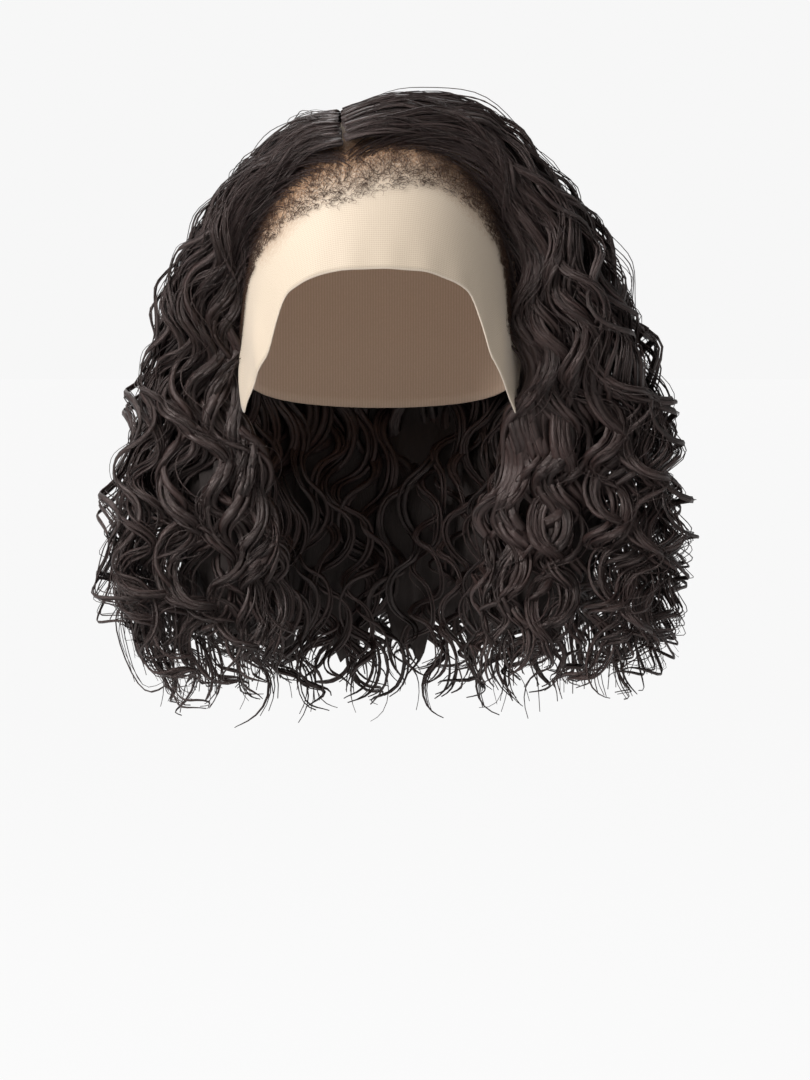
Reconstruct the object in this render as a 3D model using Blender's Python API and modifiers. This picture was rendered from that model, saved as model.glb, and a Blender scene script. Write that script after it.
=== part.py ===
"""Curly lace front wig: a cloth cap, a lace panel with ear tabs, and hair in sections of wavy locks.

The origin is the crown of the head that wears it, +Z is up and the face looks along -Y, so the
viewer's right is +X. The head itself isn't built: its sizes only shape the hollow of the wig.
"""

import math
from collections import namedtuple

import bmesh
import bpy
from mathutils import Vector

# The head that the wig fits, in metres.
HEAD_WIDTH = 0.154
HEAD_DEPTH = 0.190
CROWN_RISE = 0.125
HEAD_SQUARENESS = 2.2
DOME_SQUARENESS = 2.5

# Cloth walls and the gaps between pieces.
CAP_WALL = 0.0015
LACE_WALL = 0.001
SEAM_GAP = 0.0004
HAIR_LIFT = 0.0020
SECTION_GAP = 0.0008

# The cap, which ends above the nape, and the seam that runs from ear to ear over the head.
NAPE_DROP = 0.040
NAPE_EASE = 0.050
EAR_DROP = 0.018
SEAM_LEAN = math.radians(9)
CAP_POLE_LEAN = math.radians(32)
CAP_RINGS = 7
CAP_SEAM_STEPS = 16
CAP_RIM_STEPS = 20

# The lace front, and how far its ear tabs stand off the head.
LACE_DROP = 0.083
TAB_DROP = 0.163
TAB_STAND_OFF = 0.0008
LACE_HALF_ANGLE = math.radians(84)
LACE_COLUMNS = 34
LACE_ROWS = 7

# The hair, measured from the head's axis where it reaches out and from its widest level where it hangs.
RIGHT_REACH = 0.169
LEFT_REACH = 0.154
BACK_REACH = 0.140
FRONT_REACH = 0.108
HANG_DROP = 0.224
SIDE_RISE = 0.026
PARTING_OFFSET = 0.0215
PARTING_LENGTH = 0.082
PARTING_START = math.radians(31)
PARTING_GAP = 0.0016
WHORL_RADIUS = 0.004
ROOT_DEPTH = 0.0035

# The locks that the hair falls in.
LOCK_COUNT = 28
LOCK_RELIEF = 0.0070
WAVE_LENGTH = 0.056
WAVE_SWING = 0.0085
WAVE_BULGE = 0.0045
TIP_ROWS = 5
TIP_UNEVENNESS = 0.014
TIP_HOLLOW = 0.5
TIP_THICKNESS = 0.35
TIP_CURL = 0.006
DOME_ROWS = 9
HANG_ROWS = 20
ROWS = DOME_ROWS + HANG_ROWS
JOINED_ROWS = ROWS - TIP_ROWS

# How the lace's lower edge runs back from the middle of the forehead: `side` is a share of its half angle,
# `drop` the share of the way from the forehead's edge down to the tip of the ear tab.
LaceEdge = namedtuple("LaceEdge", "side drop")
LACE_EDGE = (
    LaceEdge(0.00, 0.00),
    LaceEdge(0.19, 0.02),
    LaceEdge(0.335, 0.11),
    LaceEdge(0.43, 0.22),
    LaceEdge(0.48, 0.54),
    LaceEdge(0.60, 0.73),
    LaceEdge(0.71, 0.88),
    LaceEdge(0.80, 1.00),
    LaceEdge(0.90, 0.92),
    LaceEdge(1.00, 0.52),
)

# Sections of the hair from the head's widest level down to the tips. `drop` is a share of HANG_DROP; `right`,
# `left`, `back` and `front` are shares of those reaches, `neck` is a share of the head's width and depth that
# the hollow keeps, and the last two are the angles from straight ahead where the hair begins beside the face.
Level = namedtuple("Level", "drop right left back front neck face_right face_left")
LEVELS = (
    Level(0.00, 0.87, 0.82, 0.86, 0.90, 1.00, 60, 79),
    Level(0.10, 0.91, 0.84, 0.90, 0.93, 0.99, 67, 80),
    Level(0.20, 0.95, 0.88, 0.93, 0.96, 0.94, 72, 78),
    Level(0.30, 0.96, 0.91, 0.95, 0.98, 0.85, 74, 74),
    Level(0.45, 0.97, 0.95, 0.98, 1.00, 0.75, 76, 72),
    Level(0.60, 0.99, 0.99, 1.00, 1.00, 0.71, 77, 71),
    Level(0.75, 0.98, 0.98, 1.00, 0.98, 0.70, 77, 71),
    Level(0.90, 0.94, 0.89, 0.96, 0.93, 0.70, 77, 71),
    Level(1.00, 0.86, 0.76, 0.88, 0.85, 0.70, 77, 71),
)

# The shoulder that each front edge of the hair rounds on its way down from the parting, as angles from
# straight ahead and from straight up.
Shoulder = namedtuple("Shoulder", "turn lean")
RIGHT_SHOULDER = Shoulder(math.radians(76), math.radians(43))
LEFT_SHOULDER = Shoulder(math.radians(58), math.radians(50))
SIDE_LEAN = math.radians(46)

# Sections of hair, from the right of the face round the back to the left of it.
Section = namedtuple("Section", "name locks")
SECTIONS = (
    Section("hair_right_front", 5),
    Section("hair_right", 5),
    Section("hair_back_right", 4),
    Section("hair_back_left", 4),
    Section("hair_left", 5),
    Section("hair_left_front", 5),
)
EDGE_LOCKS = 3

CENTRE = Vector((0, 0, -CROWN_RISE))


def between(low, high, share):
    return low + (high - low) * share


def read_table(rows, key, column, value):
    """The column's value where the key column holds `value`, read on a straight line between rows."""
    for low, high in zip(rows, rows[1:]):
        if value <= getattr(high, key):
            step = getattr(high, key) - getattr(low, key)
            share = max(0.0, (value - getattr(low, key)) / step)
            return between(getattr(low, column), getattr(high, column), share)
    return getattr(rows[-1], column)


def aimed(turn, lean):
    """A direction, by its angle from straight ahead towards the right and its angle from straight up."""
    return Vector((math.sin(lean) * math.sin(turn), -math.sin(lean) * math.cos(turn), math.cos(lean)))


def ring_radius(turn, right, left, front, back):
    """The distance out to an oval whose four reaches differ."""
    sideways, ahead = math.sin(turn), math.cos(turn)
    width = right if sideways > 0 else left
    depth = front if ahead > 0 else back
    across = abs(sideways / width) ** HEAD_SQUARENESS
    along = abs(ahead / depth) ** HEAD_SQUARENESS
    return (across + along) ** (-1 / HEAD_SQUARENESS)


def head_reach(direction, lift):
    """The distance from the head's centre to a skin that lies `lift` outside the head."""
    flat = Vector((direction.x, direction.y)).length
    up = abs(direction.z) / (CROWN_RISE + lift)
    if flat < 1e-6:
        return 1 / up
    turn = math.atan2(direction.x, -direction.y)
    wide, deep = HEAD_WIDTH / 2 + lift, HEAD_DEPTH / 2 + lift
    out = flat / ring_radius(turn, wide, wide, deep, deep)
    return (out**DOME_SQUARENESS + up**DOME_SQUARENESS) ** (-1 / DOME_SQUARENESS)


def on_head(direction, lift=0.0):
    return CENTRE + direction * head_reach(direction, lift)


def material(name, colour, roughness):
    made = bpy.data.materials.new(name)
    made.use_nodes = True
    shader = made.node_tree.nodes["Principled BSDF"]
    shader.inputs["Base Color"].default_value = (*colour, 1)
    shader.inputs["Roughness"].default_value = roughness
    shader.inputs["Metallic"].default_value = 0
    return made


def finish_object(name, mesh, finish, collection):
    """Puts the mesh in the scene as an object that carries its own material."""
    piece = bpy.data.objects.new(name, mesh)
    collection.objects.link(piece)
    mesh.materials.append(finish)
    return piece


def sheet_mesh(name, rows, closed):
    """A sheet through rows of points. A closed one joins each row's ends, and starts at a single point."""
    work = bmesh.new()
    grid = [[work.verts.new(point) for point in row] for row in rows]
    if closed:
        pole, first = grid[0][0], grid[1]
        for i, vertex in enumerate(first):
            work.faces.new((pole, vertex, first[(i + 1) % len(first)]))
        grid = grid[1:]
    columns = len(grid[0]) if closed else len(grid[0]) - 1
    for upper, lower in zip(grid, grid[1:]):
        for i in range(columns):
            j = (i + 1) % len(upper)
            work.faces.new((upper[i], lower[i], lower[j], upper[j]))
    bmesh.ops.recalc_face_normals(work, faces=work.faces)
    mesh = bpy.data.meshes.new(name)
    work.to_mesh(mesh)
    work.free()
    return mesh


def thicken(piece, wall):
    """Gives a sheet its wall, outwards from the head."""
    solid = piece.modifiers.new("wall", "SOLIDIFY")
    solid.thickness = wall
    solid.offset = 1


def seam_lean(turn):
    """Where the seam from ear to ear passes, as an angle from straight up, ahead of the ears."""
    return math.atan2(math.tan(SEAM_LEAN), math.cos(turn))


def cap_rim():
    """Directions round the cap's edge: over the head along the seam, then back under the ears and the nape."""
    rim = []
    for i in range(CAP_SEAM_STEPS + 1):
        across = between(-math.pi / 2, math.pi / 2, i / CAP_SEAM_STEPS)
        lean = SEAM_LEAN - SEAM_GAP / CROWN_RISE
        rim.append(
            Vector((math.sin(across), -math.cos(across) * math.sin(lean), math.cos(across) * math.cos(lean)))
        )
    for i in range(CAP_RIM_STEPS + 1):
        turn = between(math.radians(93), math.radians(267), i / CAP_RIM_STEPS)
        drop = between(EAR_DROP, NAPE_DROP, math.sin(between(0, math.pi, i / CAP_RIM_STEPS)))
        radius = ring_radius(turn, HEAD_WIDTH / 2, HEAD_WIDTH / 2, HEAD_DEPTH / 2, HEAD_DEPTH / 2)
        rim.append(Vector((math.sin(turn) * radius, -math.cos(turn) * radius, -drop)).normalized())
    return rim


def build_cap(collection):
    pole = Vector((0, math.sin(CAP_POLE_LEAN), math.cos(CAP_POLE_LEAN)))
    rim = cap_rim()
    rows = [[on_head(pole)]]
    for ring in range(1, CAP_RINGS + 1):
        share = ring / CAP_RINGS
        rows.append([on_head(pole.slerp(edge, share)) for edge in rim])
    finish = material("cap_cloth", (0.55, 0.40, 0.29), 0.85)
    piece = finish_object("wig_cap", sheet_mesh("wig_cap", rows, closed=True), finish, collection)
    thicken(piece, CAP_WALL)


def lace_drop(side):
    """How far below the crown the lace's edge is, at a share of its half angle."""
    return between(LACE_DROP, TAB_DROP, read_table(LACE_EDGE, "side", "drop", side))


def lace_point(column, row):
    """A point of the lace: `column` runs from -1 at one ear to 1 at the other, `row` from seam to cut edge."""
    turn = column * LACE_HALF_ANGLE
    level = CROWN_RISE - lace_drop(abs(column))
    radius = ring_radius(turn, HEAD_WIDTH / 2, HEAD_WIDTH / 2, HEAD_DEPTH / 2, HEAD_DEPTH / 2)
    edge_lean = math.atan2(radius, level)
    lean = between(seam_lean(turn), edge_lean, row)
    off = TAB_STAND_OFF * max(0.0, row - 0.5) * abs(column)
    return on_head(aimed(turn, lean), off)


def build_lace(collection):
    rows = []
    for i in range(LACE_ROWS + 1):
        row = []
        for j in range(LACE_COLUMNS + 1):
            across = between(-1, 1, j / LACE_COLUMNS)
            row.append(lace_point(across, i / LACE_ROWS))
        rows.append(row)
    finish = material("lace", (0.80, 0.64, 0.53), 0.8)
    piece = finish_object("lace_front", sheet_mesh("lace_front", rows, closed=False), finish, collection)
    thicken(piece, LACE_WALL)


def root_direction(share):
    """Where a lock leaves the parting: back along its right side, round the whorl and forward on its left."""
    middle = -PARTING_OFFSET / CROWN_RISE
    gap = PARTING_GAP / CROWN_RISE
    whorl = WHORL_RADIUS / CROWN_RISE
    start = -math.tan(PARTING_START)
    rear = start + PARTING_LENGTH / CROWN_RISE
    side = min(share, 1 - share) / 0.38
    hand = 1 if share < 0.5 else -1
    if side < 1:
        spread = between(gap, whorl, side**4)
        return Vector((middle + hand * spread, between(start, rear, side), 1)).normalized()
    angle = between(0, math.pi, (share - 0.38) / 0.24)
    return Vector((middle + whorl * math.cos(angle), rear + whorl * math.sin(angle), 1)).normalized()


def edge_roll(share):
    """How far round the hair's front edge a column lies: its turn as a share of the whole, and its depth."""
    near = min(share, 1 - share)
    edge = EDGE_LOCKS / LOCK_COUNT
    if near >= edge:
        turn, depth = between(edge / 3, 0.5, (near - edge) / (0.5 - edge)), 1.0
    else:
        angle = near / edge * math.pi / 2
        turn, depth = edge / 3 * (1 - math.cos(angle)), math.sin(angle)
    return (turn if share < 0.5 else 1 - turn), depth


def level_turn(share, drop):
    """The angle from straight ahead of a column of hair, at a share of the way down from the widest level."""
    right = math.radians(read_table(LEVELS, "drop", "face_right", drop))
    left = math.radians(read_table(LEVELS, "drop", "face_left", drop))
    return between(right, 2 * math.pi - left, share)


def outer_radius(turn, drop):
    """How far out the hair reaches from the head's axis."""
    return ring_radius(
        turn,
        RIGHT_REACH * read_table(LEVELS, "drop", "right", drop),
        LEFT_REACH * read_table(LEVELS, "drop", "left", drop),
        FRONT_REACH * read_table(LEVELS, "drop", "front", drop),
        BACK_REACH * read_table(LEVELS, "drop", "back", drop),
    )


def inner_radius(turn, drop, fall):
    """How wide the hollow is below the widest level: as the head as far as the cap goes, then as the neck."""
    neck = read_table(LEVELS, "drop", "neck", drop)
    past_cap = max(0.0, fall - NAPE_DROP - HANG_DROP / HANG_ROWS) / NAPE_EASE
    dome = (1 - min(1.0, fall / CROWN_RISE) ** DOME_SQUARENESS) ** (1 / DOME_SQUARENESS)
    neck = max(neck, dome * (1 - past_cap))
    lift = CAP_WALL + HAIR_LIFT
    wide, deep = HEAD_WIDTH / 2 * neck + lift, HEAD_DEPTH / 2 * neck + lift
    return ring_radius(turn, wide, wide, deep, deep)


def dome_direction(share, turn, along):
    """The way over the head from the parting to the widest level, round a shoulder."""
    root = root_direction(share)
    front = max(0.0, 1 - min(share, 1 - share) / 0.3)
    shoulder, edge_turn = (
        (RIGHT_SHOULDER, LEVELS[0].face_right) if share < 0.5 else (LEFT_SHOULDER, LEVELS[0].face_left)
    )
    offset = shoulder.turn - math.radians(edge_turn)
    lean = between(SIDE_LEAN, shoulder.lean, front)
    side = 1 if share < 0.5 else -1
    bend = aimed(turn + side * offset * front, lean)
    end = aimed(turn, math.pi / 2)
    mixed = root * (1 - along) ** 2 + bend * 2 * along * (1 - along) + end * along**2
    return mixed.normalized()


def tip_drop(share, turn):
    """How far a lock hangs: the sides end higher, and neighbouring tips differ."""
    lock = round(share * LOCK_COUNT)
    uneven = TIP_UNEVENNESS * math.sin(2.4 * lock)
    return HANG_DROP - SIDE_RISE * abs(math.sin(turn)) ** 3 - abs(uneven)


def hair_point(share, depth, row):
    """A point in the hair.

    `share` runs from 0 at the right of the face to 1 at its left, `depth` from 0 on the cap to 1 on the
    outside, and `row` counts down from the parting.
    """
    rolled, full = edge_roll(share)
    column = between(share, rolled, depth)
    deep = depth * full
    if row <= DOME_ROWS:
        along = row / DOME_ROWS
        turn = level_turn(column, 0)
        direction = dome_direction(share, turn, along)
        skin = head_reach(direction, CAP_WALL + HAIR_LIFT)
        outside = outer_radius(turn, 0) - inner_radius(turn, 0, 0)
        thick = between(ROOT_DEPTH, outside, along**0.8)
        return CENTRE + direction * (skin + thick * between(deep, depth, (1 - along) ** 2))
    drop = (row - DOME_ROWS) / HANG_ROWS
    turn = level_turn(column, drop)
    fall = tip_drop(share, turn) * drop
    radius = between(inner_radius(turn, drop, fall), outer_radius(turn, drop), deep)
    return CENTRE + Vector((math.sin(turn) * radius, -math.cos(turn) * radius, -fall))


def wave(share, row):
    """How far the locks have swung sideways, as a share of the way round, and outwards, in metres."""
    if row <= DOME_ROWS:
        travel = (row / DOME_ROWS - 1) * CROWN_RISE
        strength = (row / DOME_ROWS) ** 2
    else:
        travel = (row - DOME_ROWS) / HANG_ROWS * HANG_DROP
        strength = 1.0
    phase = 2 * math.pi * travel / WAVE_LENGTH + 2.2 * math.sin(9 * share) + 1.3 * math.sin(23 * share)
    edge = min(1.0, 0.35 + min(share, 1 - share) * 6)
    around = math.pi * (RIGHT_REACH + LEFT_REACH) / 2 * 4 / 3
    return strength * edge * WAVE_SWING / around * math.sin(phase), strength * WAVE_BULGE * math.cos(phase)


def facing(share, row):
    """The way the hair's outside faces: outwards, and on the rolled front edges towards the face."""
    outwards = (hair_point(share, 1.0, row) - hair_point(share, 0.6, row)).normalized()
    near = min(share, 1 - share)
    angle = min(1.0, 0.12 + near / (EDGE_LOCKS / LOCK_COUNT)) * math.pi / 2
    step = 0.5 / LOCK_COUNT * (1 if share < 0.5 else -1)
    ahead = (hair_point(share, 0.0, row) - hair_point(share + step, 0.0, row)).normalized()
    return (outwards * math.sin(angle) + ahead * math.cos(angle)).normalized()


def lock_corners(index, row, inside=0.0):
    """The six corners of a lock's section: four on the outside of the hair and two on its inside."""
    corners = []
    rise = min(1.0, row / DOME_ROWS)
    for across, height in ((0.0, 0.0), (0.3, 1.0), (0.7, 1.0), (1.0, 0.0)):
        share = (index + across) / LOCK_COUNT
        swing, bulge = wave(share, row)
        share = min(max(share + swing, 0.0), 1.0)
        lift = LOCK_RELIEF * height * rise + bulge * height
        corners.append(hair_point(share, 1.0, row) + facing(share, row) * lift)
    for across in (1.0, 0.0):
        corners.append(hair_point((index + across) / LOCK_COUNT, inside, row))
    return corners


def nudged(point, other, distance):
    """The point moved towards another one."""
    return point + (other - point).normalized() * distance


def joined_ring(first, locks, row):
    """The section of a stretch of hair where its locks are fused: outside from right to left, then inside."""
    outside, inside = [], []
    for index in range(first, first + locks):
        corners = lock_corners(index, row)
        outside += corners[:3]
        inside.append(corners[5])
    outside.append(corners[3])
    inside.append(corners[4])
    half = SECTION_GAP / 2
    ends = [nudged(outside[0], outside[1], half), nudged(outside[-1], outside[-2], half)]
    feet = [nudged(inside[0], inside[1], half), nudged(inside[-1], inside[-2], half)]
    return [ends[0], *outside[1:-1], ends[1], feet[1], *reversed(inside[1:-1]), feet[0]]


def loose_ring(index, row):
    """The section of one lock where it hangs free, thinner towards its tip and curling."""
    share = (row - JOINED_ROWS) / (ROWS - JOINED_ROWS)
    corners = lock_corners(index, row, TIP_HOLLOW * share)
    middle = sum(corners, Vector()) / len(corners)
    thin = between(0.9, TIP_THICKNESS, share)
    turn = 2 * math.pi * share + index
    outwards = Vector((middle.x, middle.y, 0)).normalized()
    sideways = Vector((-outwards.y, outwards.x, 0))
    curl = (sideways * math.sin(turn) + outwards * math.cos(turn)) * TIP_CURL * share
    return [middle + (corner - middle) * thin + curl for corner in corners]


def bridge(work, upper, lower):
    """Faces between two closed rings. The last pair, a wall beside the next stretch, is cut as its neighbour."""
    count = len(upper)
    for i in range(count):
        j = (i + 1) % count
        if j == 0:
            work.faces.new((upper[i], lower[i], upper[j]))
            work.faces.new((upper[j], lower[i], lower[j]))
        else:
            work.faces.new((upper[i], lower[i], lower[j]))
            work.faces.new((upper[i], lower[j], upper[j]))


def build_hair(name, first, locks, finish, collection):
    """One stretch of hair: locks fused side by side from the parting down, and free of each other at their tips."""
    work = bmesh.new()
    rings = []
    for row in range(JOINED_ROWS + 1):
        rings.append([work.verts.new(point) for point in joined_ring(first, locks, row)])
    for upper, lower in zip(rings, rings[1:]):
        bridge(work, upper, lower)
    for lock in range(locks):
        ends = []
        for ring in (rings[0], rings[-1]):
            inside = ring[3 * locks + 1 :][::-1]
            ends.append([*ring[3 * lock : 3 * lock + 4], inside[lock + 1], inside[lock]])
        work.faces.new(ends[0])
        upper = ends[1]
        for row in range(JOINED_ROWS + 1, ROWS + 1):
            lower = [work.verts.new(point) for point in loose_ring(first + lock, row)]
            bridge(work, upper, lower)
            upper = lower
        work.faces.new(upper)
    bmesh.ops.recalc_face_normals(work, faces=work.faces)
    mesh = bpy.data.meshes.new(name)
    work.to_mesh(mesh)
    work.free()
    finish_object(name, mesh, finish, collection)


def main():
    for old in list(bpy.data.objects):
        bpy.data.objects.remove(old, do_unlink=True)
    collection = bpy.data.collections.new("lace_front_wig")
    bpy.context.scene.collection.children.link(collection)
    build_cap(collection)
    build_lace(collection)
    first = 0
    for section in SECTIONS:
        finish = material(section.name, (0.020, 0.013, 0.012), 0.42)
        build_hair(section.name, first, section.locks, finish, collection)
        first += section.locks


main()
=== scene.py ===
"""The looks of a curly lace front wig: curls, fine strands, a hairline, sheer lace and a cloth cap.

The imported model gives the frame. The hair is placed by a share of the way round from the right of the face
to its left, a depth from the cap to the outside, and a row from the parting to the tips. Its named sizes are
those of its solids, but for a tighter whorl, so that no cap shows at the rear of the parting.
"""

import logging
import math
from collections import namedtuple
from dataclasses import dataclass
from enum import Enum

import bpy
import numpy as np
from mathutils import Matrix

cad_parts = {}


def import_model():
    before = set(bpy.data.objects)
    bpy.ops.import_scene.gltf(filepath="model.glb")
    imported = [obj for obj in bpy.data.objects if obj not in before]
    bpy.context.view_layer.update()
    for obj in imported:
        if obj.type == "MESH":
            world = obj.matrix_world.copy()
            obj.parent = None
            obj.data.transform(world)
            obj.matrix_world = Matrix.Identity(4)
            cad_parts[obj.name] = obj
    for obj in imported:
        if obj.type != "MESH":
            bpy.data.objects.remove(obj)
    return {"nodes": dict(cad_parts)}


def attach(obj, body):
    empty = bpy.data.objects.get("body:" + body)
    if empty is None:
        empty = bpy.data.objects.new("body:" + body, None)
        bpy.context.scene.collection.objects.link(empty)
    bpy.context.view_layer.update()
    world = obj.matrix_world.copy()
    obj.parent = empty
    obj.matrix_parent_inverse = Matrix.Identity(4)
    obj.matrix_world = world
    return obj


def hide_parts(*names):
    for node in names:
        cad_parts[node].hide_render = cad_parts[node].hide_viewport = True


LOG = logging.getLogger("wig")
SEED = 7
NUMBERS_A_CLUMP = 16

Level = namedtuple("Level", "drop right left back front neck face_right face_left")
LEVELS = (
    Level(0.00, 0.87, 0.82, 0.86, 0.90, 1.00, 60, 79),
    Level(0.10, 0.91, 0.84, 0.90, 0.93, 0.99, 67, 80),
    Level(0.20, 0.95, 0.88, 0.93, 0.96, 0.94, 72, 78),
    Level(0.30, 0.96, 0.91, 0.95, 0.98, 0.85, 74, 74),
    Level(0.45, 0.97, 0.95, 0.98, 1.00, 0.75, 76, 72),
    Level(0.60, 0.99, 0.99, 1.00, 1.00, 0.71, 77, 71),
    Level(0.75, 0.98, 0.98, 1.00, 0.98, 0.70, 77, 71),
    Level(0.90, 0.94, 0.89, 0.96, 0.93, 0.70, 77, 71),
    Level(1.00, 0.86, 0.76, 0.88, 0.85, 0.70, 77, 71),
)

LaceEdge = namedtuple("LaceEdge", "side drop")
LACE_EDGE = (
    LaceEdge(0.00, 0.00),
    LaceEdge(0.19, 0.02),
    LaceEdge(0.335, 0.11),
    LaceEdge(0.43, 0.22),
    LaceEdge(0.48, 0.54),
    LaceEdge(0.60, 0.73),
    LaceEdge(0.71, 0.88),
    LaceEdge(0.80, 1.00),
    LaceEdge(0.90, 0.92),
    LaceEdge(1.00, 0.52),
)


@dataclass(frozen=True)
class CurlStyle:
    """How hair curls: how far it swings and bulges, how long a wave is, and how unlike its neighbours."""

    swing: float
    bulge: float
    wave_length: float
    disorder: float


class Curl(Enum):
    """The two ways that the hair falls."""

    WAVED = CurlStyle(swing=0.0104, bulge=0.0050, wave_length=0.072, disorder=0.45)
    RINGLETS = CurlStyle(swing=0.0098, bulge=0.0068, wave_length=0.065, disorder=0.85)


@dataclass(frozen=True)
class LayerPlan:
    """One layer of curls: how deep it lies, and what it is made of all the way round."""

    depth: float
    scatter: float
    clumps: int
    locks: int
    strands: int
    steps: int
    first_row: float
    looseness: float = 1.0


class Layer(Enum):
    """The layers of curls from the outside in."""

    LOOSE = LayerPlan(1.00, 0.030, 28, 1, 3, 104, 0.0, 1.5)
    OUTSIDE = LayerPlan(0.96, 0.040, 58, 4, 5, 102, 0.0)
    SECOND = LayerPlan(0.82, 0.045, 50, 3, 2, 84, 0.0)
    MIDDLE = LayerPlan(0.60, 0.050, 40, 3, 0, 60, 4.0)
    DEEP = LayerPlan(0.34, 0.050, 28, 3, 0, 46, 8.0)
    LINING = LayerPlan(0.05, 0.015, 38, 3, 1, 52, 9.3, 0.8)


Stretch = namedtuple("Stretch", "node first last curl")
STRETCHES = (
    Stretch("hair_right_front", 0, 5, Curl.RINGLETS),
    Stretch("hair_right", 5, 10, Curl.RINGLETS),
    Stretch("hair_back_right", 10, 14, Curl.RINGLETS),
    Stretch("hair_back_left", 14, 18, Curl.WAVED),
    Stretch("hair_left", 18, 23, Curl.WAVED),
    Stretch("hair_left_front", 23, 28, Curl.WAVED),
)


def read(rows: tuple, key: str, column: str, value: np.ndarray) -> np.ndarray:
    """Reads a table's column at values of its key column, on straight lines between rows."""
    return np.interp(value, [getattr(row, key) for row in rows], [getattr(row, column) for row in rows])


def unit(vectors: np.ndarray) -> np.ndarray:
    """Returns the vectors with a length of one."""
    return vectors / np.maximum(np.linalg.norm(vectors, axis=-1, keepdims=True), 1e-12)


def ease(value: np.ndarray) -> np.ndarray:
    """Returns a smooth step from 0 to 1 as the value goes from 0 to 1."""
    held = np.clip(value, 0, 1)
    return held * held * (3 - 2 * held)


def softened(paths: np.ndarray, passes: int) -> np.ndarray:
    """Rounds the corners of paths.

    Args:
        paths: The paths, one line of points each.
        passes: How often each point moves to the mean of itself and its neighbours.

    Returns:
        The rounded paths, with their ends kept.
    """
    for _ in range(passes):
        middle = (paths[:, :-2] + 2 * paths[:, 1:-1] + paths[:, 2:]) / 4
        paths = np.concatenate([paths[:, :1], middle, paths[:, -1:]], axis=1)
    return paths


def aimed(turn: np.ndarray, lean: np.ndarray) -> np.ndarray:
    """Returns unit vectors for turns towards the right and leans from straight up, in radians."""
    turn, lean = np.broadcast_arrays(turn, lean)
    return np.stack([np.sin(lean) * np.sin(turn), -np.sin(lean) * np.cos(turn), np.cos(lean)], axis=-1)


@dataclass(frozen=True)
class Head:
    """The head that the wig fits. It isn't built, and only shapes the hollow."""

    width: float = 0.154
    depth: float = 0.190
    rise: float = 0.125
    squareness: float = 2.2
    dome_squareness: float = 2.5

    @property
    def centre(self) -> np.ndarray:
        """The middle of the head at its widest level."""
        return np.array([0.0, 0.0, -self.rise])

    def ring(self, turn: np.ndarray, right: float, left: float, front: float, back: float) -> np.ndarray:
        """Measures an oval whose four reaches differ.

        Args:
            turn: Angles from straight ahead.
            right: The reach to the right.
            left: The reach to the left.
            front: The reach ahead.
            back: The reach behind.

        Returns:
            The distance out to the oval at each angle.
        """
        sideways, ahead = np.sin(turn), np.cos(turn)
        across = np.abs(sideways / np.where(sideways > 0, right, left)) ** self.squareness
        along = np.abs(ahead / np.where(ahead > 0, front, back)) ** self.squareness
        return (across + along) ** (-1 / self.squareness)

    def girth(self, turn: np.ndarray) -> np.ndarray:
        """Returns the distance out to the head's widest level at each angle."""
        return self.ring(turn, self.width / 2, self.width / 2, self.depth / 2, self.depth / 2)

    def reach(self, directions: np.ndarray, lift: np.ndarray) -> np.ndarray:
        """Measures from the head's centre to a skin outside the head.

        Args:
            directions: Unit vectors from the centre.
            lift: How far outside the head the skin lies.

        Returns:
            The distance along each direction.
        """
        flat = np.maximum(np.linalg.norm(directions[..., :2], axis=-1), 1e-9)
        turn = np.arctan2(directions[..., 0], -directions[..., 1])
        wide, deep = self.width / 2 + lift, self.depth / 2 + lift
        out = flat / self.ring(turn, wide, wide, deep, deep)
        up = np.abs(directions[..., 2]) / (self.rise + lift)
        return (out**self.dome_squareness + up**self.dome_squareness) ** (-1 / self.dome_squareness)

    def skin(self, directions: np.ndarray, lift: np.ndarray) -> np.ndarray:
        """Returns the points of that skin along the directions."""
        return self.centre + directions * self.reach(directions, lift)[..., None]


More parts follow.
